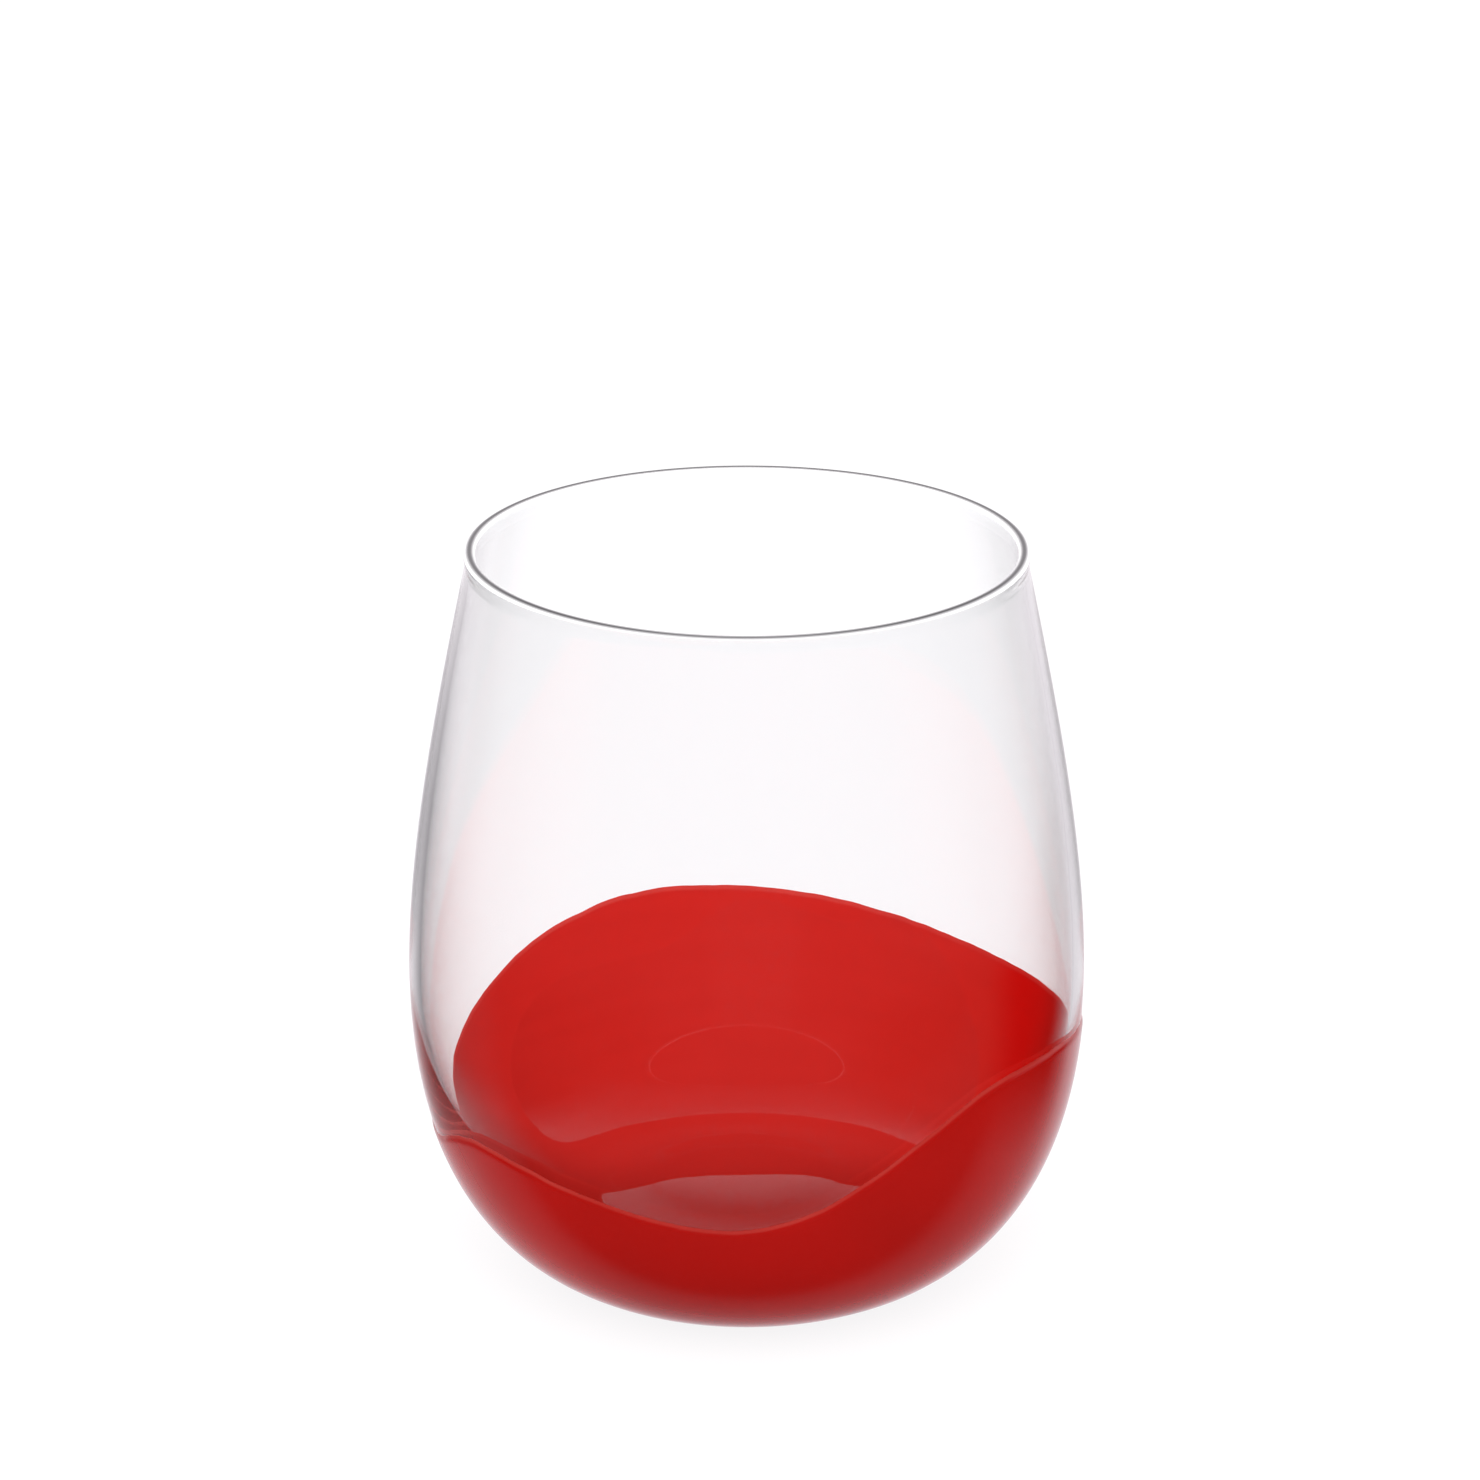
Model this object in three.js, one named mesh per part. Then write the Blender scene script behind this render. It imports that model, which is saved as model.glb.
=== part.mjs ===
// A clear stemless drinking glass whose lower part carries a coat of red gloss enamel.
// The enamel was laid on by hand, so its top edge climbs and dips on its way round the bowl.
// Millimetres, +Z up. The origin lies on the table under the middle of the base.
// Headings are degrees round the axis: 0 is the front (-Y), and they turn towards +X.

import * as THREE from 'three';

// Glass body, heights measured from its own foot
const GLASS_HEIGHT = 102.5;
const BELLY_RADIUS = 46;
const BELLY_HEIGHT = 42.2;
const RIM_RADIUS = 37.5;
const FOOT_RADIUS = 22;

// How far each outside curve runs straight on from its end before it bends
const HEEL_REACH = 4;
const BELLY_DROP = 36.2;
const BELLY_RISE = 17.5;
const NECK_RUN = 19;
const NECK_LEAN_DEGREES = 12;

// Fire-polished bead round the mouth, and the slight neck under it
const RIM_BEAD = 1.6;
const BEAD_PROUD = 0.05;
const BEAD_RUN = 0.6;
const NECK_DEPTH = 2.7;

// Walls
const NECK_WALL = 1.2;
const BELLY_WALL = 1.5;
const FLOOR_HEIGHT = 7.8;
const FLOOR_REACH = 8;
const INSIDE_BELLY_DROP = 26;

// Low dome in the middle of the inside floor
const DOME_RADIUS = 22;
const DOME_RISE = 2;
const DOME_CREST_REACH = 16.5;
const DOME_FOOT_REACH = 11;

// Hollow under the base that leaves a flat ring to stand on
const PUNT_RADIUS = 17;
const PUNT_DEPTH = 2;

// Enamel coat, with the clearance that keeps it off the faceted glass
const COAT_THICKNESS = 0.15;
const COAT_CLEARANCE = 0.1;

// Crests and dips of the enamel's edge, as heights above the table
const RIGHT_CREST = 39.9;
const RIGHT_DIP = 32.9;
const BACK_CREST = 36.3;
const LEFT_DIP = 22.6;
const LEFT_CREST = 28.7;
const FRONT_DIP = 23.6;

// Where each crest and dip lies round the bowl
const EDGE_TURNS = [
  { heading: 50, height: RIGHT_CREST },
  { heading: 128, height: RIGHT_DIP },
  { heading: 194, height: BACK_CREST },
  { heading: 282, height: LEFT_DIP },
  { heading: 308, height: LEFT_CREST },
  { heading: 358, height: FRONT_DIP },
];

// Fineness of the faceted surfaces
const SEGMENTS = 72;
const PUNT_STEPS = 3;
const LOWER_STEPS = 14;
const UPPER_STEPS = 8;
const FLANK_STEPS = 3;
const RIM_STEPS = 6;
const DOME_STEPS = 6;
const INSIDE_LOWER_STEPS = 10;
const COAT_SIDE_STEPS = 14;

const coatStandoff = COAT_CLEARANCE + COAT_THICKNESS;
const beadRound = RIM_BEAD / 2;
const beadHeight = GLASS_HEIGHT - beadRound;
const neckRadius = RIM_RADIUS - BEAD_PROUD;
const neckHeight = GLASS_HEIGHT - NECK_DEPTH;
const neckLean = Math.tan(THREE.MathUtils.degToRad(NECK_LEAN_DEGREES));

// Lower stretch of a wall: level at the bottom, upright at the belly
function lowerCurve(start, reach, bellyRadius, drop) {
  return new THREE.CubicBezierCurve(
    start,
    new THREE.Vector2(start.x + reach, start.y),
    new THREE.Vector2(bellyRadius, BELLY_HEIGHT - drop),
    new THREE.Vector2(bellyRadius, BELLY_HEIGHT),
  );
}

// Upper stretch of a wall: upright at the belly, leaning in at the neck
function upperCurve(bellyRadius, topRadius) {
  return new THREE.CubicBezierCurve(
    new THREE.Vector2(bellyRadius, BELLY_HEIGHT),
    new THREE.Vector2(bellyRadius, BELLY_HEIGHT + BELLY_RISE),
    new THREE.Vector2(topRadius + NECK_RUN * neckLean, neckHeight - NECK_RUN),
    new THREE.Vector2(topRadius, neckHeight),
  );
}

// Flank of the bead: it leaves the neck along the wall and swells until it is upright
function beadFlank(startRadius, endRadius) {
  return new THREE.CubicBezierCurve(
    new THREE.Vector2(startRadius, neckHeight),
    new THREE.Vector2(startRadius - BEAD_RUN * neckLean, neckHeight + BEAD_RUN),
    new THREE.Vector2(endRadius, beadHeight - BEAD_RUN),
    new THREE.Vector2(endRadius, beadHeight),
  );
}

const outsideLower = lowerCurve(new THREE.Vector2(FOOT_RADIUS, 0), HEEL_REACH, BELLY_RADIUS, BELLY_DROP);
const outsideUpper = upperCurve(BELLY_RADIUS, neckRadius);
const outsideFlank = beadFlank(neckRadius, RIM_RADIUS);

const insideBelly = BELLY_RADIUS - BELLY_WALL;
const insideNeck = neckRadius - NECK_WALL;
const insideFlank = beadFlank(insideNeck, RIM_RADIUS - RIM_BEAD);
const insideUpper = upperCurve(insideBelly, insideNeck);
const insideLower = lowerCurve(
  new THREE.Vector2(DOME_RADIUS, FLOOR_HEIGHT), FLOOR_REACH, insideBelly, INSIDE_BELLY_DROP,
);

// Inside floor from the crest of its dome out to the lowest ring
const insideDome = new THREE.CubicBezierCurve(
  new THREE.Vector2(0, FLOOR_HEIGHT + DOME_RISE),
  new THREE.Vector2(DOME_CREST_REACH, FLOOR_HEIGHT + DOME_RISE),
  new THREE.Vector2(DOME_RADIUS - DOME_FOOT_REACH, FLOOR_HEIGHT),
  new THREE.Vector2(DOME_RADIUS, FLOOR_HEIGHT),
);

// Shallow dome of the punt, from the axis out to the standing ring
function puntPoints() {
  const points = [];
  for (let step = 0; step <= PUNT_STEPS; step += 1) {
    const radius = PUNT_RADIUS * step / PUNT_STEPS;
    const height = PUNT_DEPTH * (1 - (radius / PUNT_RADIUS) ** 2);
    points.push(new THREE.Vector2(radius, height));
  }
  return points;
}

// Bead of the fire-polished rim, from the neck outside over the top to the neck inside
function rimPoints() {
  const arc = new THREE.EllipseCurve(
    RIM_RADIUS - beadRound, beadHeight, beadRound, beadRound, 0, Math.PI, false, 0,
  );
  return [
    ...outsideFlank.getPoints(FLANK_STEPS).slice(1),
    ...arc.getPoints(RIM_STEPS).slice(1, -1),
    ...insideFlank.getPoints(FLANK_STEPS).reverse(),
  ];
}

// Closed half section of the glass, turned round the axis
function glassGeometry() {
  const section = [
    ...puntPoints(),
    ...outsideLower.getPoints(LOWER_STEPS),
    ...outsideUpper.getPoints(UPPER_STEPS).slice(1),
    ...rimPoints(),
    ...insideUpper.getPoints(UPPER_STEPS).reverse().slice(1),
    ...insideLower.getPoints(INSIDE_LOWER_STEPS).reverse().slice(1),
    ...insideDome.getPoints(DOME_STEPS).reverse().slice(1),
  ];
  const lifted = section.map((point) => new THREE.Vector2(point.x, point.y + coatStandoff));
  return new THREE.LatheGeometry(lifted, SEGMENTS).rotateX(Math.PI / 2);
}

// Height of the enamel's edge: a smooth swing from each crest or dip to the next
function edgeHeight(heading) {
  const count = EDGE_TURNS.length;
  for (let index = 0; index < count; index += 1) {
    const from = EDGE_TURNS[index];
    const to = EDGE_TURNS[(index + 1) % count];
    const span = THREE.MathUtils.euclideanModulo(to.heading - from.heading, 360);
    const along = THREE.MathUtils.euclideanModulo(heading - from.heading, 360);
    if (along < span) {
      const swing = (1 - Math.cos(Math.PI * along / span)) / 2;
      return THREE.MathUtils.lerp(from.height, to.height, swing);
    }
  }
  return EDGE_TURNS[0].height;
}

// Point on the outside of the glass, pushed out square to it. The place runs from 0 at the
// foot through 1 at the belly to 2 at the rim.
function outsidePoint(place, offset) {
  const curve = place < 1 ? outsideLower : outsideUpper;
  const part = place < 1 ? place : place - 1;
  const point = curve.getPoint(part);
  const along = curve.getTangent(part);
  return new THREE.Vector2(point.x + along.y * offset, point.y - along.x * offset);
}

// Place on the outside that lies at a given height above the foot
function placeAtHeight(height) {
  let low = 0;
  let high = 2;
  for (let halving = 0; halving < 40; halving += 1) {
    const middle = (low + high) / 2;
    if (outsidePoint(middle, 0).y < height) {
      low = middle;
    } else {
      high = middle;
    }
  }
  return low;
}

// One face of the enamel at one heading, from the middle of the base up to its edge
function coatFace(edgePlace, offset) {
  const points = puntPoints().map((point) => new THREE.Vector2(point.x, point.y - offset));
  for (let step = 0; step <= COAT_SIDE_STEPS; step += 1) {
    points.push(outsidePoint(edgePlace * step / COAT_SIDE_STEPS, offset));
  }
  return points;
}

// Closed skin: the outer face up to the edge, then the inner face back down to the axis
function coatGeometry() {
  const positions = [];
  let rows = 0;
  for (let column = 0; column < SEGMENTS; column += 1) {
    const heading = 360 * column / SEGMENTS;
    const edgePlace = placeAtHeight(edgeHeight(heading) - coatStandoff);
    const section = [
      ...coatFace(edgePlace, coatStandoff),
      ...coatFace(edgePlace, COAT_CLEARANCE).reverse(),
    ];
    const turn = THREE.MathUtils.degToRad(heading);
    rows = section.length;
    for (const point of section) {
      positions.push(point.x * Math.sin(turn), -point.x * Math.cos(turn), point.y + coatStandoff);
    }
  }
  const indices = [];
  for (let column = 0; column < SEGMENTS; column += 1) {
    const here = column * rows;
    const next = ((column + 1) % SEGMENTS) * rows;
    for (let row = 0; row < rows - 1; row += 1) {
      indices.push(here + row, next + row, here + row + 1);
      indices.push(next + row + 1, here + row + 1, next + row);
    }
  }
  const geometry = new THREE.BufferGeometry();
  geometry.setAttribute('position', new THREE.Float32BufferAttribute(positions, 3));
  geometry.setIndex(indices);
  geometry.computeVertexNormals();
  return geometry;
}

const clearGlass = new THREE.MeshStandardMaterial({
  color: 0xf3f6f5,
  roughness: 0.03,
  metalness: 0,
  transparent: true,
  opacity: 0.35,
});
const redEnamel = new THREE.MeshStandardMaterial({ color: 0xc81e1a, roughness: 0.2, metalness: 0 });

const glassTumbler = new THREE.Mesh(glassGeometry(), clearGlass);
glassTumbler.name = 'glass_tumbler';

const enamelCoat = new THREE.Mesh(coatGeometry(), redEnamel);
enamelCoat.name = 'enamel_coat';

const waterGlass = new THREE.Group();
waterGlass.add(glassTumbler, enamelCoat);

export default waterGlass;
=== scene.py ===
# %% [markdown]
# # A stemless water glass with a red enamel coat
#
# The real object is a clear, egg-shaped drinking glass that stands on its own base, with no stem.
# Its base and lower bowl are coated on the outside with opaque red gloss enamel. The coat was laid on
# by hand, so its top edge climbs and dips on its way round the bowl.
#
# The lesson models the two pieces, the glass and the enamel film, and gives each its finish. The
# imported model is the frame: it says where the pieces sit and how large they are, so it comes first.

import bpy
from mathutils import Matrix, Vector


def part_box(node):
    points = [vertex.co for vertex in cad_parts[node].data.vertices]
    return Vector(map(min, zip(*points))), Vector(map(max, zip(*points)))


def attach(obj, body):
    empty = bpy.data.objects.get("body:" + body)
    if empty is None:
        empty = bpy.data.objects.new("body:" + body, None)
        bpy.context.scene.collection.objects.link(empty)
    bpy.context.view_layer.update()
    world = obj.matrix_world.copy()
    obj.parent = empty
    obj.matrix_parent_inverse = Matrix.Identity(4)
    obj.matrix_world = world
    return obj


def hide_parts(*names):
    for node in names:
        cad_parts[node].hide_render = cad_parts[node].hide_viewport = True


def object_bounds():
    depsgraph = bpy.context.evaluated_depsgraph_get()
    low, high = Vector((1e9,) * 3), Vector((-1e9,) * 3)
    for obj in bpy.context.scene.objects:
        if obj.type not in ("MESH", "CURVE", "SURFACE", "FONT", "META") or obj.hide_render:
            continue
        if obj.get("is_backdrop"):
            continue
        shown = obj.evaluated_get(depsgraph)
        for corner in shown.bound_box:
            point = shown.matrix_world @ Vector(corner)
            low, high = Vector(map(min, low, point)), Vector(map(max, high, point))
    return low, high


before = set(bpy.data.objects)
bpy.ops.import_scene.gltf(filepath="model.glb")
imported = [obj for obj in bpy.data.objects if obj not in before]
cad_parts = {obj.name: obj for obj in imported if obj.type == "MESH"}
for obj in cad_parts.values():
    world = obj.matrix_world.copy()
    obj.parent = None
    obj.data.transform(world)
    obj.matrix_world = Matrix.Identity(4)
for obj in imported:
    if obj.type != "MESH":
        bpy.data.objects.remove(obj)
cad_low, cad_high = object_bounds()
print("CAD nodes:", ", ".join(sorted(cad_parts)))

# %% [markdown]
# ## Sizes
#
# Blender works in metres and a glassmaker in millimetres, so one factor turns one into the other.
# The height, the widest radius and the thickness of the film under the base are read from the frame.
# The other sizes of the section can't be read from a box, so they are repeated here as named values.

# %% Sizes of the glass
import math

MM = 0.001
glass_low, glass_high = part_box("glass_tumbler")
FILM = glass_low.z
GLASS_HEIGHT = glass_high.z - glass_low.z
BELLY_RADIUS = glass_high.x
BELLY_HEIGHT = 42.2 * MM
RIM_RADIUS = 37.5 * MM
FOOT_RADIUS = 22 * MM
print(f"glass {GLASS_HEIGHT / MM:.1f} mm high and {2 * BELLY_RADIUS / MM:.1f} mm wide")
print(f"film {FILM / MM:.2f} mm thick with its clearance")

# %% [markdown]
# ## Camera
#
# The view is from a little above the rim, through a long lens, so the mouth shows as a flat ellipse and
# the sides stay nearly parallel. The distance and the lens were fitted to the outline of the glass.
# The camera aims at the middle of the glass and is then tipped up, because the glass sits low in the
# picture. A tip of the camera keeps the lens free of shift.

# %% Place the camera
import bpy

CAMERA_DISTANCE = 650 * MM
CAMERA_ELEVATION = math.radians(22.05)
CAMERA_TIP = math.radians(2.1)
CAMERA_TURN = math.radians(0.086)
CAMERA_LENS = 116.07
CAMERA_SENSOR = 36
AIM_HEIGHT = 50 * MM

bpy.ops.object.select_all(action="DESELECT")
bpy.ops.object.camera_add(
    location=(
        0,
        -CAMERA_DISTANCE * math.cos(CAMERA_ELEVATION),
        AIM_HEIGHT + CAMERA_DISTANCE * math.sin(CAMERA_ELEVATION),
    ),
    rotation=(math.pi / 2 - CAMERA_ELEVATION + CAMERA_TIP, 0, CAMERA_TURN),
)
camera = bpy.context.object
camera.name = "camera"
camera.data.lens = CAMERA_LENS
camera.data.sensor_width = CAMERA_SENSOR
bpy.context.scene.camera = camera
print("camera at", [round(value, 3) for value in camera.location], "m")

# %% [markdown]
# ## Helpers for colours and nodes
#
# Colours are written as sRGB hex values, as a paint chart gives them, and shaders want linear light.
# Every material below is a small tree of nodes. One function adds a node, sets it and links it, so that
# a tree reads as a list of what it is made of. Sockets that share a name are given by their number.

# %% Helpers for materials


def linear(hex_colour):
    """Linear RGBA of an sRGB colour written as #RRGGBB."""
    channels = [int(hex_colour[start:start + 2], 16) / 255 for start in (1, 3, 5)]
    return [c / 12.92 if c <= 0.04045 else ((c + 0.055) / 1.055) ** 2.4 for c in channels] + [1.0]


def add_node(tree, kind, settings=None, stops=(), **inputs):
    """Adds a node. An input is a plain value or an output socket to link, and _6 is input number 6.

    Stops are for a colour ramp: pairs of a position and a hex colour.
    """
    node = tree.nodes.new(kind)
    for name, value in (settings or {}).items():
        setattr(node, name, value)
    for index, (position, colour) in enumerate(stops):
        elements = node.color_ramp.elements
        element = elements[index] if index < 2 else elements.new(position)
        element.position = position
        element.color = linear(colour)
    for name, value in inputs.items():
        key = int(name[1:]) if name[0] == "_" else name.replace("_", " ")
        socket = node.inputs[key]
        if isinstance(value, bpy.types.NodeSocket):
            tree.links.new(value, socket)
        else:
            socket.default_value = value
    return node


def new_material(name):
    """An empty node material and its tree."""
    material = bpy.data.materials.new(name)
    material.use_nodes = True
    material.node_tree.nodes.clear()
    return material, material.node_tree


print("mid grey in linear light:", [round(channel, 3) for channel in linear("#808080")])

# %% [markdown]
# ## Paper floor
#
# The glass stands on a sheet of white paper. The sheet is a real diffuse surface, so the glass still
# casts a soft shadow on it, and it glows for the eye, straight or through the glass, so that it reads
# as plain white. More light on the sheet would whiten it too, but it would also bleach the red. Mirrored
# rays pass through the paper to the studio, which says what gloss shows.

# %% Lay the paper
FLOOR_SIZE = 24

bpy.ops.object.select_all(action="DESELECT")
bpy.ops.mesh.primitive_plane_add(size=FLOOR_SIZE, location=(0, 0, 0))
floor = bpy.context.object
floor.name = "paper_floor"
print("paper", FLOOR_SIZE, "m wide")

# %% What each kind of ray meets
# Rays count whole bounces, so half a bounce parts those that were mirrored from the others
HALF_A_BOUNCE = 0.5


def for_each_ray(tree, straight, through_glass, mirrored, diffuse):
    """One shader out of four: for straight rays, rays through glass, mirrored rays and diffuse rays."""
    path = add_node(tree, "ShaderNodeLightPath").outputs
    was_mirrored = add_node(
        tree, "ShaderNodeMath", {"operation": "GREATER_THAN"},
        _0=path["Glossy Depth"], _1=HALF_A_BOUNCE,
    ).outputs[0]
    met = straight
    for is_such_ray, shader in [
        (path["Is Transmission Ray"], through_glass),
        (was_mirrored, mirrored),
        (path["Is Diffuse Ray"], diffuse),
    ]:
        met = add_node(tree, "ShaderNodeMixShader", _0=is_such_ray, _1=met, _2=shader).outputs[0]
    return met


print("paper and studio tell 4 kinds of ray apart")

# %% Matt white paper
GLOW = 1.04
GLOW_THROUGH_GLASS = 1.18
GLOW_SHARE = 0.85

# Coarser than the fibres of real paper, which would be too fine to show
PAPER_GRAIN = 0.6 * MM

# Uncoated paper is matt and faintly mottled: an even white with no shine
paper, tree = new_material("white_paper")
place = add_node(tree, "ShaderNodeTexCoord").outputs["Object"]
grain = add_node(tree, "ShaderNodeTexNoise", Vector=place, Scale=1 / PAPER_GRAIN).outputs[0]
tone = add_node(
    tree, "ShaderNodeMix", {"data_type": "RGBA"}, _0=grain, _6=linear("#ECECEC"), _7=linear("#F4F4F4"),
).outputs[2]
sheet = add_node(tree, "ShaderNodeBsdfDiffuse", Color=tone).outputs[0]
glowing = []
for colour, strength in [("#FFFEFF", GLOW), ("#FDFCFF", GLOW_THROUGH_GLASS)]:
    glow = add_node(tree, "ShaderNodeEmission", Color=linear(colour), Strength=strength).outputs[0]
    glowing.append(add_node(tree, "ShaderNodeMixShader", _0=GLOW_SHARE, _1=sheet, _2=glow).outputs[0])
open_air = add_node(tree, "ShaderNodeBsdfTransparent").outputs[0]
add_node(tree, "ShaderNodeOutputMaterial", Surface=for_each_ray(tree, *glowing, open_air, sheet))
floor.data.materials.append(paper)
floor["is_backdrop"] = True
print("paper grain", round(PAPER_GRAIN / MM, 1), "mm across")

# %% [markdown]
# ## Studio
#
# Clear glass shows nothing but its surroundings. Straight through, it shows the white paper and white
# walls that turn grey higher up, which draws grey lines round the rim. At the horizon the walls are as
# bright as the paper seen through glass, so that no line shows where the two meet.
#
# What gloss mirrors is a studio that is bright behind the glass and dark on the viewer's side, with dark
# walls left and right. So gloss brightens only towards the outline of the coat, and the red stays deep
# where it faces the viewer. Lamps and cards could give the same, but stops of colour are easier to set.

# %% Studio walls
AMBIENT = 1.45
WALL_GLOW = 1.19

# Walls seen through glass, from the horizon, at 0, to straight up, at 1
WALL_STOPS = [
    (0.0, "#FFFFFF"), (0.14, "#FFFFFF"), (0.3, "#767678"), (0.85, "#767678"), (0.95, "#FFFFFF"),
]

world = bpy.data.worlds.new("white_studio")
bpy.context.scene.world = world
world.use_nodes = True
tree = world.node_tree
tree.nodes.clear()
direction = add_node(tree, "ShaderNodeTexCoord").outputs["Generated"]
towards = add_node(tree, "ShaderNodeSeparateXYZ", Vector=direction).outputs
walls = add_node(tree, "ShaderNodeValToRGB", stops=WALL_STOPS, Fac=towards["Z"]).outputs["Color"]
studio = add_node(tree, "ShaderNodeBackground", Color=walls, Strength=WALL_GLOW).outputs[0]
white = add_node(tree, "ShaderNodeBackground", Color=linear("#FFFFFF")).outputs[0]
ambient = add_node(tree, "ShaderNodeBackground", Color=linear("#FFFFFF"), Strength=AMBIENT).outputs[0]
print("studio with", len(WALL_STOPS), "wall stops")

# %% What gloss mirrors
# Light from the viewer's side, at 0, to straight behind the glass, at 1
BACK_STOPS = [
    (0.0, "#343234"), (0.15, "#7A777A"), (0.4, "#989598"), (0.62, "#BAB6BA"), (0.8, "#E2DDE2"),
    (1.0, "#FFFAFF"),
]

# Dark side walls, from the far left, at 0, to the far right, at 1
SIDE_STOPS = [(0.22, "#8A8A8A"), (0.38, "#FFFFFF"), (0.75, "#FFFFFF"), (0.86, "#181818")]

# Where the walls stand, from level, at 0, to straight down, at 1: a gap lets light in, and paper lies below
WALL_REACH = [
    (0.0, "#FFFFFF"), (0.08, "#000000"), (0.2, "#000000"), (0.28, "#FFFFFF"), (0.45, "#FFFFFF"),
    (0.6, "#000000"),
]

behind = add_node(tree, "ShaderNodeValToRGB", stops=BACK_STOPS, Fac=towards["Y"]).outputs["Color"]
across = add_node(tree, "ShaderNodeMapRange", Value=towards["X"], From_Min=-1.0).outputs[0]
side_walls = add_node(tree, "ShaderNodeValToRGB", stops=SIDE_STOPS, Fac=across).outputs["Color"]
down = add_node(tree, "ShaderNodeMath", {"operation": "MULTIPLY"}, _0=towards["Z"], _1=-1.0).outputs[0]
on_wall = add_node(tree, "ShaderNodeValToRGB", stops=WALL_REACH, Fac=down).outputs["Color"]
gloss_light = add_node(
    tree, "ShaderNodeMix", {"data_type": "RGBA", "blend_type": "MULTIPLY"},
    _0=on_wall, _6=behind, _7=side_walls,
).outputs[2]
mirrored = add_node(tree, "ShaderNodeBackground", Color=gloss_light).outputs[0]
add_node(tree, "ShaderNodeOutputWorld", Surface=for_each_ray(tree, white, studio, mirrored, ambient))
print("mirrored light in", len(BACK_STOPS), "stops, side walls in", len(SIDE_STOPS))

# %% [markdown]
# ## Key light
#
# One large softbox above the viewer lights the coat evenly from the front. It is kept out of mirrors and
# glass, because the studio already says what gloss shows, and a lamp would add a hard patch to the coat.
# On its way light crosses the glass many times, so it may bounce more often than Blender's own setting
# allows. With fewer bounces the thick base would turn black in places.

# %% Soft key light
from mathutils import Vector

KEY_ELEVATION = math.radians(50)
KEY_DISTANCE = 1.0
KEY_SIZE = 0.6
KEY_POWER = 5.0

key_place = KEY_DISTANCE * Vector((0, -math.cos(KEY_ELEVATION), math.sin(KEY_ELEVATION)))
bpy.ops.object.select_all(action="DESELECT")
bpy.ops.object.light_add(
    type="AREA", location=key_place, rotation=(math.pi / 2 - KEY_ELEVATION, 0, 0),
)
key = bpy.context.object
key.name = "key_softbox"
key.data.size = KEY_SIZE
key.data.energy = KEY_POWER
key.visible_glossy = False
key.visible_transmission = False
key.visible_camera = False
print("key light at", [round(value, 2) for value in key.location], "m")

# %% Bounces and view
LIGHT_BOUNCES = 32

scene = bpy.context.scene
scene.view_settings.view_transform = "Standard"
scene.cycles.max_bounces = LIGHT_BOUNCES
scene.cycles.glossy_bounces = LIGHT_BOUNCES
scene.cycles.transmission_bounces = LIGHT_BOUNCES
scene.cycles.transparent_max_bounces = LIGHT_BOUNCES
print("light bounces up to", LIGHT_BOUNCES, "times")

# %% [markdown]
# ## The glass
#
# A drinking glass is a body of revolution: the glassmaker turns it while it is hot, so one half section
# says all about its shape. It is drawn as a Bezier curve with points only where the shape changes, and
# spun round the axis. A stack of scaled circles could give the same outline, but it would hide the
# section, and the wall between outside and inside is what bends the light here.
#
# The wall is thin at the neck and thick at the base. The mouth ends in a small round bead, because the
# rim was melted smooth in a flame. The inside floor rises to a low dome in the middle, and the base is
# hollowed under it to leave a ring to stand on.

# %% Sizes of the section
HEEL_REACH = 4 * MM
BELLY_DROP = 36.2 * MM
BELLY_RISE = 17.5 * MM
NECK_RUN = 19 * MM
NECK_LEAN = math.tan(math.radians(12))
NECK_DEPTH = 2.7 * MM
NECK_WALL = 1.2 * MM
RIM_BEAD = 1.6 * MM
BEAD_PROUD = 0.05 * MM
BEAD_RUN = 0.6 * MM
BELLY_WALL = 1.5 * MM
FLOOR_HEIGHT = 7.8 * MM
FLOOR_REACH = 8 * MM
INSIDE_BELLY_DROP = 26 * MM
DOME_RADIUS = 22 * MM
DOME_RISE = 2 * MM
DOME_CREST_REACH = 16.5 * MM
DOME_FOOT_REACH = 11 * MM
PUNT_RADIUS = 17 * MM
PUNT_DEPTH = 2 * MM

# A Bezier handle of this share of the radius draws a quarter circle
ARC_HANDLE = 0.5523

bead_round = RIM_BEAD / 2
bead_height = GLASS_HEIGHT - bead_round
bead_middle = RIM_RADIUS - bead_round
bead_arc = ARC_HANDLE * bead_round
bead_inside = RIM_RADIUS - RIM_BEAD
neck_height = GLASS_HEIGHT - NECK_DEPTH
neck_radius = RIM_RADIUS - BEAD_PROUD
neck_inside = neck_radius - NECK_WALL
belly_inside = BELLY_RADIUS - BELLY_WALL
crest_height = FLOOR_HEIGHT + DOME_RISE
print(f"floor {FLOOR_HEIGHT / MM:.1f} mm above the foot, {crest_height / MM:.1f} mm in the middle")

# %% Stops of the half section
# Each stop is a point (radius, height) with the handle before it and the handle after it.
# Handles a third of the way along give the hollow under the base the shape of a parabola.
outside_stops = [
    ((0, PUNT_DEPTH), (0, PUNT_DEPTH), (PUNT_RADIUS / 3, PUNT_DEPTH)),
    ((PUNT_RADIUS, 0), (PUNT_RADIUS * 2 / 3, PUNT_DEPTH * 2 / 3), (PUNT_RADIUS, 0)),
    ((FOOT_RADIUS, 0), (FOOT_RADIUS, 0), (FOOT_RADIUS + HEEL_REACH, 0)),
    (
        (BELLY_RADIUS, BELLY_HEIGHT),
        (BELLY_RADIUS, BELLY_HEIGHT - BELLY_DROP),
        (BELLY_RADIUS, BELLY_HEIGHT + BELLY_RISE),
    ),
    (
        (neck_radius, neck_height),
        (neck_radius + NECK_RUN * NECK_LEAN, neck_height - NECK_RUN),
        (neck_radius - BEAD_RUN * NECK_LEAN, neck_height + BEAD_RUN),
    ),
]
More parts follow.
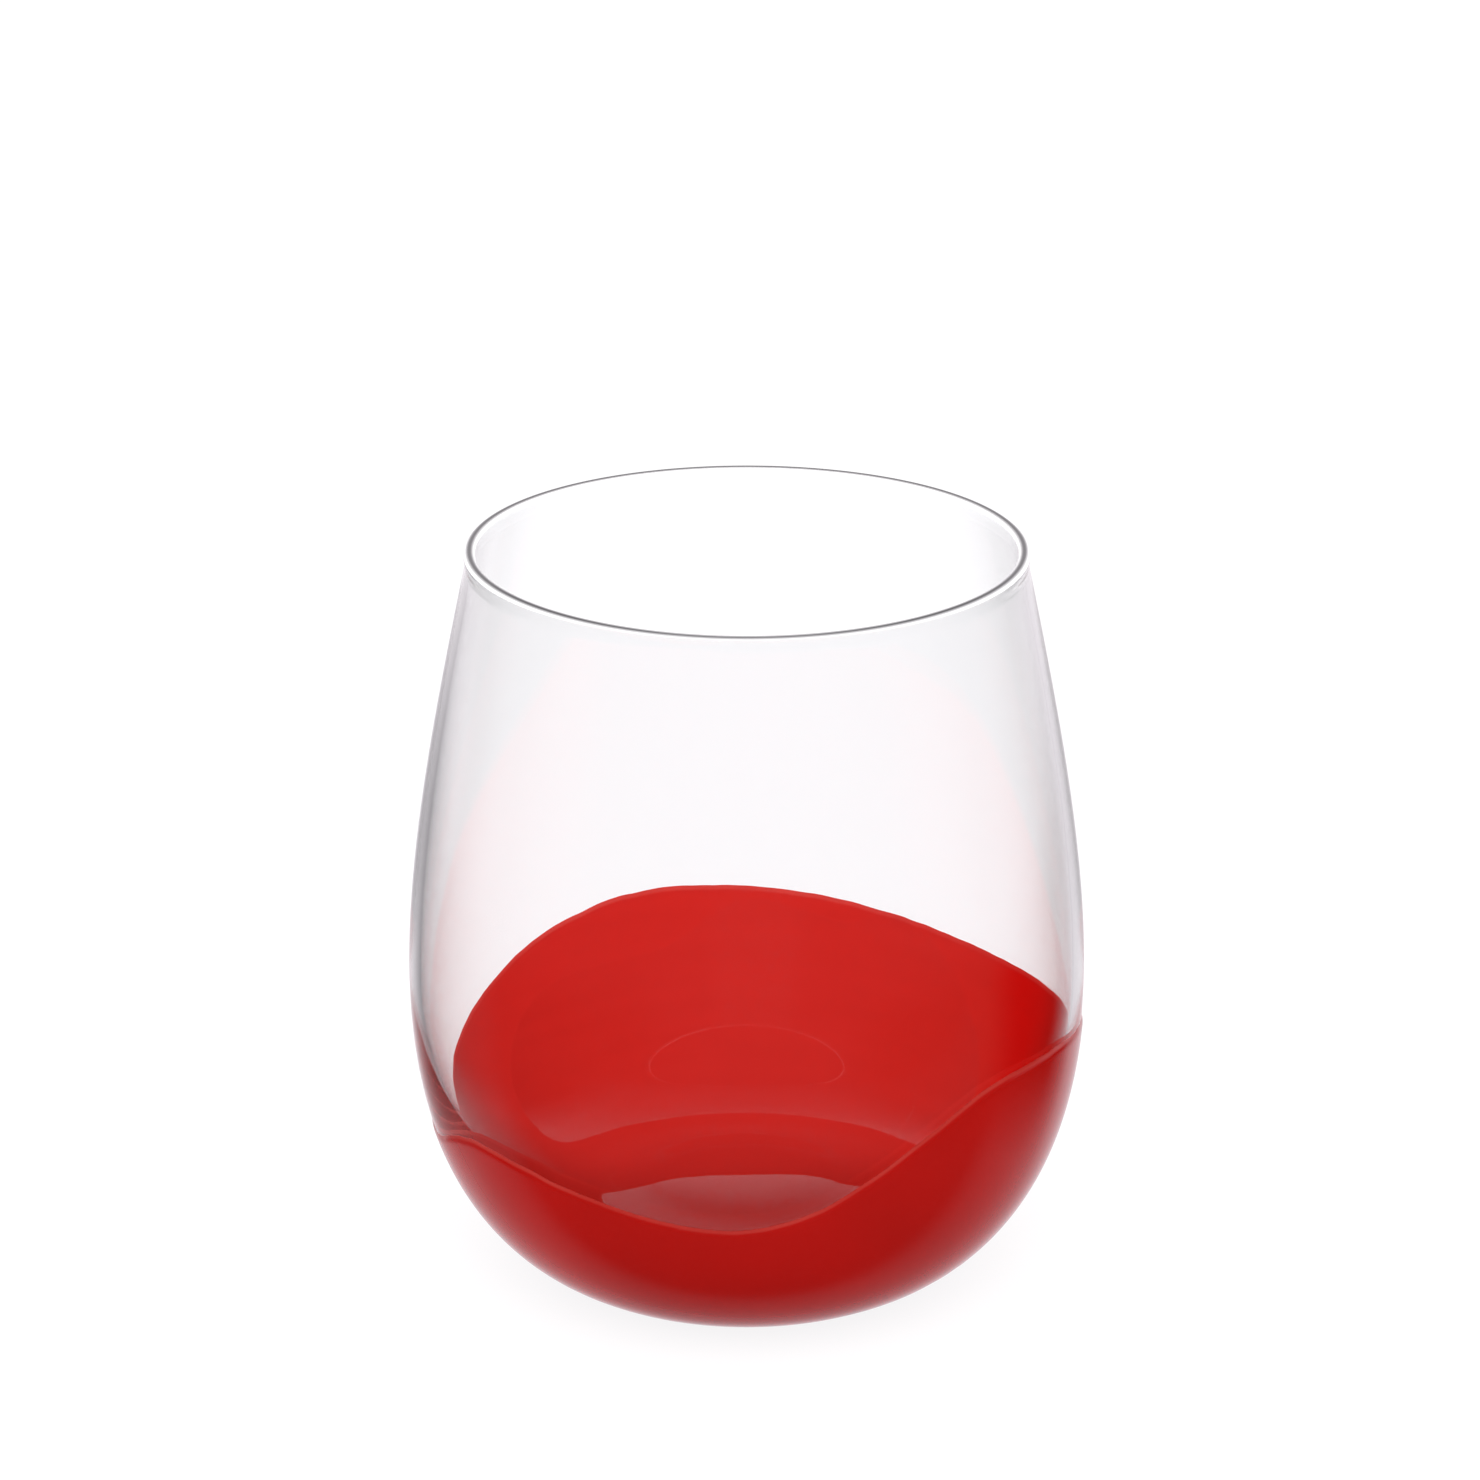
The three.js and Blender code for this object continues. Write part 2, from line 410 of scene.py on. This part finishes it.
bead_stops = [
    (
        (RIM_RADIUS, bead_height),
        (RIM_RADIUS, bead_height - BEAD_RUN),
        (RIM_RADIUS, bead_height + bead_arc),
    ),
    (
        (bead_middle, GLASS_HEIGHT),
        (bead_middle + bead_arc, GLASS_HEIGHT),
        (bead_middle - bead_arc, GLASS_HEIGHT),
    ),
    (
        (bead_inside, bead_height),
        (bead_inside, bead_height + bead_arc),
        (bead_inside, bead_height - BEAD_RUN),
    ),
]
inside_stops = [
    (
        (neck_inside, neck_height),
        (neck_inside - BEAD_RUN * NECK_LEAN, neck_height + BEAD_RUN),
        (neck_inside + NECK_RUN * NECK_LEAN, neck_height - NECK_RUN),
    ),
    (
        (belly_inside, BELLY_HEIGHT),
        (belly_inside, BELLY_HEIGHT + BELLY_RISE),
        (belly_inside, BELLY_HEIGHT - INSIDE_BELLY_DROP),
    ),
    (
        (DOME_RADIUS, FLOOR_HEIGHT),
        (DOME_RADIUS + FLOOR_REACH, FLOOR_HEIGHT),
        (DOME_RADIUS - DOME_FOOT_REACH, FLOOR_HEIGHT),
    ),
    ((0, crest_height), (DOME_CREST_REACH, crest_height), (0, crest_height)),
]
section_stops = outside_stops + bead_stops + inside_stops
print("section of", len(section_stops), "stops")

# %% Draw the half section
CURVE_STEPS = 24


def on_section(place):
    """A (radius, height) of the section as a point beside the axis, lifted onto the film."""
    return Vector((place[0], 0, place[1] + FILM))


bpy.ops.object.select_all(action="DESELECT")
bpy.ops.curve.primitive_bezier_curve_add(location=(0, 0, 0))
glass = bpy.context.object
glass.name = "blown_glass"
glass.data.dimensions = "3D"
glass.data.resolution_u = CURVE_STEPS
spline = glass.data.splines[0]
spline.bezier_points.add(len(section_stops) - len(spline.bezier_points))
for point, (place, before, after) in zip(spline.bezier_points, section_stops):
    point.handle_left_type = "FREE"
    point.handle_right_type = "FREE"
    point.co = on_section(place)
    point.handle_left = on_section(before)
    point.handle_right = on_section(after)
print("curve of", len(spline.bezier_points), "points")

# %% Spin the section into the glass
GLASS_TURNS = 256
WELD = 0.001 * MM
SMOOTH_ANGLE = math.radians(50)

bpy.ops.object.convert(target="MESH")
bpy.ops.object.mode_set(mode="EDIT")
bpy.ops.mesh.select_all(action="SELECT")
bpy.ops.mesh.spin(steps=GLASS_TURNS, angle=2 * math.pi, center=(0, 0, 0), axis=(0, 0, 1))
bpy.ops.mesh.select_all(action="SELECT")
bpy.ops.mesh.remove_doubles(threshold=WELD)
bpy.ops.mesh.normals_make_consistent(inside=False)
bpy.ops.object.mode_set(mode="OBJECT")
bpy.ops.object.shade_smooth_by_angle(angle=SMOOTH_ANGLE)
print("glass faces:", len(glass.data.polygons))

# %% [markdown]
# ## Clear glass
#
# Soda-lime glass, blown and fire polished, has a bare, colourless surface with sharp reflections. Its
# wall is never quite even, so lines behind it waver a little. Thick stretches, seen edge on along the
# sides and through the base, darken to a soft grey.
#
# Light that only brightens the enamel may pass the glass in a straight line. Traced through two bent
# surfaces it would be mostly noise.

# %% Clear glass
GLASS_IOR = 1.52
WAVE_ROUND = 14 * MM
WAVE_TALL = 60 * MM
WAVE_HEIGHT = 0.006 * MM
GREY_DENSITY = 24

# Bare polished glass: sharp reflections, a slight waver, and grey only where light runs far inside it
clear_glass, tree = new_material("clear_soda_lime_glass")
path = add_node(tree, "ShaderNodeLightPath").outputs
place = add_node(tree, "ShaderNodeTexCoord").outputs["Object"]
drawn = add_node(
    tree, "ShaderNodeMapping", Vector=place, Scale=(1 / WAVE_ROUND, 1 / WAVE_ROUND, 1 / WAVE_TALL),
).outputs[0]
waver = add_node(tree, "ShaderNodeTexNoise", Vector=drawn, Scale=1.0, Detail=1.0).outputs[0]
uneven = add_node(tree, "ShaderNodeBump", Strength=1.0, Distance=WAVE_HEIGHT, Height=waver).outputs[0]
surface = add_node(
    tree, "ShaderNodeBsdfPrincipled",
    Base_Color=linear("#FFFFFF"), Roughness=0.0, IOR=GLASS_IOR, Transmission_Weight=1.0, Normal=uneven,
).outputs[0]
unbent = add_node(tree, "ShaderNodeBsdfTransparent", Color=linear("#FAFAFA")).outputs[0]
for kind in ("Is Diffuse Ray", "Is Shadow Ray"):
    surface = add_node(tree, "ShaderNodeMixShader", _0=path[kind], _1=surface, _2=unbent).outputs[0]
grey = add_node(
    tree, "ShaderNodeVolumeAbsorption", Color=linear("#828082"), Density=GREY_DENSITY,
).outputs[0]
add_node(tree, "ShaderNodeOutputMaterial", Surface=surface, Volume=grey)
glass.data.materials.append(clear_glass)
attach(glass, "root")
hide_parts("glass_tumbler")
print("glass of index", GLASS_IOR)

# %% [markdown]
# ## The lip
#
# A round bead of clear glass pipes light down into the wall, where the enamel swallows most of it, so it
# would trace as a broad dark band. On the real glass the lip reads as white with one fine grey line
# along its crest, which slips to the outside of the bead at the front; both come from light bent inside
# the bead. So the top of the bead is painted light instead: a white that turns into a painted grey line,
# set where the line shows from the front. How far a point lies from the line is kept with the mesh as
# an attribute.

# %% Line along the lip
LIP_REACH = math.radians(75)
LINE_LEAN = math.radians(46)
LINE_FADE = math.radians(15)


def off_crest(point):
    """Angle out from the crest of the lip to a point, seen from the middle of the bead."""
    return math.atan2(math.hypot(point.x, point.y) - bead_middle, point.z - FILM - bead_height)


def off_line(point):
    """Angle between the painted grey line and a point, with an extra at the front that turns the line
    paler.
    """
    front = max(-point.y / max(math.hypot(point.x, point.y), WELD), 0) ** 2
    return abs(off_crest(point) - LINE_LEAN * front) + LINE_FADE * front


distance = glass.data.attributes.new("off_line", "FLOAT", "POINT")
for vertex, kept in zip(glass.data.vertices, distance.data):
    kept.value = off_line(vertex.co) / LIP_REACH
print("line leans out", round(math.degrees(LINE_LEAN)), "degrees at the front")

# %% Painted light on the lip
# From the middle of the painted line, at 0, to the end of the lip's painted light, at 1
LIP_PAINTED_LIGHT_STOPS = [(0.0, "#363537"), (0.2, "#545254"), (0.4, "#A6A4A6"), (0.65, "#EEEDEE")]
LIP_GLOSS = 0.1

# Glass melted smooth in a flame, shining softly. Its white and its fine grey line are painted light
# for the light bent inside the bead
lip, tree = new_material("lip_painted_light")
from_line = add_node(tree, "ShaderNodeAttribute", {"attribute_name": "off_line"}).outputs["Fac"]
white_to_grey = add_node(tree, "ShaderNodeValToRGB", stops=LIP_PAINTED_LIGHT_STOPS, Fac=from_line).outputs["Color"]
polish = add_node(
    tree, "ShaderNodeBsdfPrincipled", Base_Color=white_to_grey, Roughness=LIP_GLOSS, IOR=GLASS_IOR,
).outputs[0]
add_node(tree, "ShaderNodeOutputMaterial", Surface=polish)
glass.data.materials.append(lip)
for face in glass.data.polygons:
    on_top = face.center.z > FILM + bead_height
    face.material_index = 1 if on_top and abs(off_crest(face.center)) < LIP_REACH else 0
print("lip faces:", sum(face.material_index for face in glass.data.polygons))

# %% [markdown]
# ## The enamel film
#
# The enamel is a thin skin on the outside of the glass. It starts as a flat grid, the film unrolled:
# one way is the heading round the bowl, the other runs out from the middle of the base, up the side to
# the edge, over the edge and back down against the glass. Wrapping the grid round the section gives a
# closed skin that follows the glass everywhere. A thickened copy of the glass could do as well, but a
# wavy edge cut through its faces would end in steps.
#
# The edge swings between a few crests and dips. On that swing sits the small unsteadiness of a hand.
# Along the edge the film thins out over about a millimetre, as a wet coat does before it sets.

# %% Edge of the film
from mathutils import noise

# Crests and dips of the edge: heading in degrees from the front towards +X, height above the table
RIGHT_CREST = (50, 39.9 * MM)
RIGHT_DIP = (128, 32.9 * MM)
BACK_CREST = (194, 36.3 * MM)
LEFT_DIP = (282, 22.6 * MM)
LEFT_CREST = (308, 28.7 * MM)
FRONT_DIP = (358, 23.6 * MM)
EDGE_TURNS = [RIGHT_CREST, RIGHT_DIP, BACK_CREST, LEFT_DIP, LEFT_CREST, FRONT_DIP]

# Wavelength and size of the hand's unsteadiness
EDGE_WANDER = [(9 * MM, 0.25 * MM), (3 * MM, 0.12 * MM)]


def edge_height(heading):
    """Height of the film's edge: a smooth swing from each turn to the next, with some wander."""
    turn = math.radians(heading)
    ring = BELLY_RADIUS * Vector((math.sin(turn), math.cos(turn), 0))
    wander = sum(size * noise.noise(ring / wave) for wave, size in EDGE_WANDER)
    for (start, low), (end, high) in zip(EDGE_TURNS, EDGE_TURNS[1:] + EDGE_TURNS[:1]):
        span = (end - start) % 360
        along = (heading - start) % 360
        if along < span:
            swing = (1 - math.cos(math.pi * along / span)) / 2
            return low + (high - low) * swing + wander
    return EDGE_TURNS[0][1] + wander


print(f"edge {edge_height(0) / MM:.1f} mm up at the front, {edge_height(180) / MM:.1f} mm at the back")

# %% Way along the outside of the glass
import bisect
from mathutils.geometry import interpolate_bezier

LINE_STEPS = 120

# Outside of the glass as a fine line, from the middle of the base to the neck
outside = []
for (place, _, after), (end, before, _) in zip(outside_stops, outside_stops[1:]):
    knots = [on_section(knot) for knot in (place, after, before, end)]
    outside += interpolate_bezier(*knots, LINE_STEPS)[1 if outside else 0:]
ways = [0.0]
for here, there in zip(outside, outside[1:]):
    ways.append(ways[-1] + (there - here).length)
heights = [point.z for point in outside]
foot_index = next(i for i, point in enumerate(outside) if point.x >= FOOT_RADIUS - WELD)
foot_way = ways[foot_index]


def on_outside(way, offset):
    """Point of the section at a way along the outside, pushed out square to the glass."""
    index = min(max(bisect.bisect(ways, way), 1), len(ways) - 1)
    here, there = outside[index - 1], outside[index]
    along = (there - here).normalized()
    share = (way - ways[index - 1]) / (ways[index] - ways[index - 1])
    return here.lerp(there, share) + offset * Vector((along.z, 0, -along.x))


def way_at_height(height):
    """Way along the outside at which the side of the glass reaches a height."""
    index = bisect.bisect(heights, height, foot_index)
    share = (height - heights[index - 1]) / (heights[index] - heights[index - 1])
    return ways[index - 1] + share * (ways[index] - ways[index - 1])


print(f"outside is {ways[-1] / MM:.1f} mm long from the middle of the base to the neck")

# %% Section of the film
BASE_ROWS = 10
SIDE_ROWS = 44
EDGE_ROWS = 8
EDGE_FEATHER = 1.3 * MM
FILM_BITE = 0.06 * MM

# Below 1, the rows of the side lie closer together towards the edge
ROW_SPREAD = 0.5


def film_section(heading):
    """The film's section at one heading: its outer face up to the edge, then its inner face back."""
    end = way_at_height(edge_height(heading))
    feather = end - EDGE_FEATHER
    stretch = [foot_way * row / BASE_ROWS for row in range(BASE_ROWS)]
    for row in range(SIDE_ROWS):
        stretch.append(foot_way + (feather - foot_way) * (row / SIDE_ROWS) ** ROW_SPREAD)
    outer = [on_outside(way, FILM) for way in stretch]
    for row in range(EDGE_ROWS + 1):
        share = row / EDGE_ROWS
        way = feather + EDGE_FEATHER * share
        outer.append(on_outside(way, (FILM + FILM_BITE) * (1 - share ** 2) - FILM_BITE))
    inner = [on_outside(way, -FILM_BITE) for way in reversed(stretch)]
    return outer + inner


film_rows = len(film_section(0)) - 1
print("film section of", film_rows, "stretches")

# %% Wrap the film round the glass
FILM_COLUMNS = 600

bpy.ops.object.select_all(action="DESELECT")
bpy.ops.mesh.primitive_grid_add(x_subdivisions=FILM_COLUMNS, y_subdivisions=film_rows, size=1)
film = bpy.context.object
film.name = "enamel_film"
sections = [film_section(360 * column / FILM_COLUMNS) for column in range(FILM_COLUMNS)]
sections.append(sections[0])
thinness = film.data.attributes.new("thinness", "FLOAT", "POINT")
for vertex, thin in zip(film.data.vertices, thinness.data):
    column = round((vertex.co.x + 0.5) * FILM_COLUMNS)
    row = round((vertex.co.y + 0.5) * film_rows)
    turn = 2 * math.pi * column / FILM_COLUMNS
    point = sections[column][row]
    vertex.co = (point.x * math.sin(turn), -point.x * math.cos(turn), point.z)
    edge_row = row - BASE_ROWS - SIDE_ROWS
    thin.value = edge_row / EDGE_ROWS if 0 <= edge_row <= EDGE_ROWS else 0.0
bpy.ops.object.mode_set(mode="EDIT")
bpy.ops.mesh.select_all(action="SELECT")
bpy.ops.mesh.remove_doubles(threshold=WELD)
bpy.ops.mesh.normals_make_consistent(inside=False)
bpy.ops.object.mode_set(mode="OBJECT")
bpy.ops.object.shade_smooth_by_angle(angle=SMOOTH_ANGLE)
print("film faces:", len(film.data.polygons))

# %% [markdown]
# ## Red enamel
#
# The outside of the film is gloss enamel: a deep red under a smooth skin that mirrors its surroundings
# a little softly, with a faint orange peel from drying. The other face is bonded to the glass, so it has
# no gloss of its own, and seen through the bowl it is a flatter red with faint brush marks. It is painted a
# much brighter red than the outside: painted light for the brighter light inside the bowl. Its red is
# deeper towards the right, and darker over the front of the base, which is painted shade where the front
# of the coat keeps light off. Along the edge, where the film thins out, both faces are a little paler:
# partly the thin film, partly a painted highlight along the edge. One finish for both would be simpler,
# but it would make the inside of the bowl as dark as the outside.

# %% Paler enamel along the edge, partly a painted highlight
DRIFT = 18 * MM

# Shares of the feathered edge at which the film starts to pale and at which it is palest
PALE_FROM = 0.5
PALE_TO = 0.75


def edge_pale_and_highlight_share(tree, place):
    """0 on the full film. It rises, unevenly, where the film thins out along its edge, for a paler red that
    is partly thin film and partly a painted highlight.
    """
    thin = add_node(tree, "ShaderNodeAttribute", {"attribute_name": "thinness"}).outputs["Fac"]
    rise = add_node(
        tree, "ShaderNodeMapRange", {"interpolation_type": "SMOOTHSTEP"},
        Value=thin, From_Min=PALE_FROM, From_Max=PALE_TO,
    ).outputs[0]
    uneven = add_node(tree, "ShaderNodeTexNoise", Vector=place, Scale=1 / DRIFT, Detail=1.0).outputs[0]
    return add_node(tree, "ShaderNodeMath", {"operation": "MULTIPLY"}, _0=rise, _1=uneven).outputs[0]


print(f"film pales over its last {(1 - PALE_FROM) * EDGE_FEATHER / MM:.2f} mm")

# %% Gloss enamel outside
PEEL = 2.2 * MM
PEEL_HEIGHT = 0.002 * MM
ENAMEL_GLOSS = 0.12
ENAMEL_IOR = 1.5

# Enamel that flowed out as it dried: a deep red that shines, with mirrored edges a little soft
enamel, tree = new_material("red_gloss_enamel")
place = add_node(tree, "ShaderNodeTexCoord").outputs["Object"]
drift = add_node(tree, "ShaderNodeTexNoise", Vector=place, Scale=1 / DRIFT, Detail=1.0).outputs[0]
red = add_node(
    tree, "ShaderNodeMix", {"data_type": "RGBA"}, _0=drift, _6=linear("#830905"), _7=linear("#910A06"),
).outputs[2]
# Paler along the thinned edge: partly thin enamel, partly a painted highlight
red = add_node(
    tree, "ShaderNodeMix", {"data_type": "RGBA"},
    _0=edge_pale_and_highlight_share(tree, place), _6=red, _7=linear("#962E28"),
).outputs[2]
peel = add_node(tree, "ShaderNodeTexNoise", Vector=place, Scale=1 / PEEL, Detail=1.0).outputs[0]
skin = add_node(tree, "ShaderNodeBump", Strength=1.0, Distance=PEEL_HEIGHT, Height=peel).outputs[0]
gloss = add_node(
    tree, "ShaderNodeBsdfPrincipled",
    Base_Color=red, Roughness=ENAMEL_GLOSS, IOR=ENAMEL_IOR, Normal=skin,
).outputs[0]
add_node(tree, "ShaderNodeOutputMaterial", Surface=gloss)
film.data.materials.append(enamel)
print("orange peel", round(PEEL / MM, 1), "mm across")

# %% Bonded face of the enamel
STROKE_LONG = 30 * MM
STROKE_WIDE = 3 * MM

# Deeper red towards the right, and painted shade over the front of the base: the axis, where each
# starts, where it is full, and its red
DEEPER_RED_AND_SHADE = [("X", 35 * MM, 41 * MM, "#D60E0A"), ("Y", 17 * MM, -5 * MM, "#B21F19")]

# Enamel dried against glass: no air between them, so no shine, only a flat red with faint strokes.
# Its red is painted brighter than the outside's, as painted light for the brighter inside of the bowl
bonded, tree = new_material("red_enamel_against_glass")
place = add_node(tree, "ShaderNodeTexCoord").outputs["Object"]
stroke = add_node(
    tree, "ShaderNodeMapping", Vector=place, Scale=(1 / STROKE_LONG, 1 / STROKE_LONG, 1 / STROKE_WIDE),
).outputs[0]
marks = add_node(tree, "ShaderNodeTexNoise", Vector=stroke, Scale=1.0, Detail=2.0).outputs[0]
red = add_node(
    tree, "ShaderNodeMix", {"data_type": "RGBA"}, _0=marks, _6=linear("#D02721"), _7=linear("#D82B25"),
).outputs[2]
spot = add_node(tree, "ShaderNodeSeparateXYZ", Vector=place).outputs
# Painted shade darkens the front of the base; the right side only turns a deeper red
for axis, start, full, deeper in DEEPER_RED_AND_SHADE:
    share = add_node(
        tree, "ShaderNodeMapRange", {"interpolation_type": "SMOOTHSTEP"},
        Value=spot[axis], From_Min=start, From_Max=full,
    ).outputs[0]
    red = add_node(
        tree, "ShaderNodeMix", {"data_type": "RGBA"}, _0=share, _6=red, _7=linear(deeper),
    ).outputs[2]
# Paler along the thinned edge: partly thin enamel, partly a painted highlight
red = add_node(
    tree, "ShaderNodeMix", {"data_type": "RGBA"},
    _0=edge_pale_and_highlight_share(tree, place), _6=red, _7=linear("#DE5650"),
).outputs[2]
flat = add_node(
    tree, "ShaderNodeBsdfPrincipled", Base_Color=red, Roughness=1.0, Specular_IOR_Level=0.0,
).outputs[0]
add_node(tree, "ShaderNodeOutputMaterial", Surface=flat)
film.data.materials.append(bonded)
print("red gathered in", len(DEEPER_RED_AND_SHADE), "places")

# %% Tell the two faces of the film apart
# Under the base the film lies level, so the glass is above it there. On the side the glass is inwards.
# The base ends at the top of its hollow, with a film's thickness to spare.
base_top = FILM + PUNT_DEPTH + FILM
for face in film.data.polygons:
    out = Vector((face.center.x, face.center.y, 0))
    under = face.center.z < base_top and out.length < FOOT_RADIUS
    faces_glass = face.normal.z > 0 if under else face.normal.dot(out) < 0
    face.material_index = 1 if faces_glass else 0
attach(film, "root")
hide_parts("enamel_coat")
print("bonded faces:", sum(face.material_index for face in film.data.polygons))

# %% [markdown]
# ## Sizes of the dressed glass
#
# The dressed glass has to keep the size of the imported model, so both boxes are printed.

low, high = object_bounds()
boxes = {
    "cad": [list(cad_low), list(cad_high)],
    "visual": [list(low), list(high)],
}
for name, (box_low, box_high) in boxes.items():
    print(name, "box", [round((b - a) / MM, 2) for a, b in zip(box_low, box_high)], "mm")
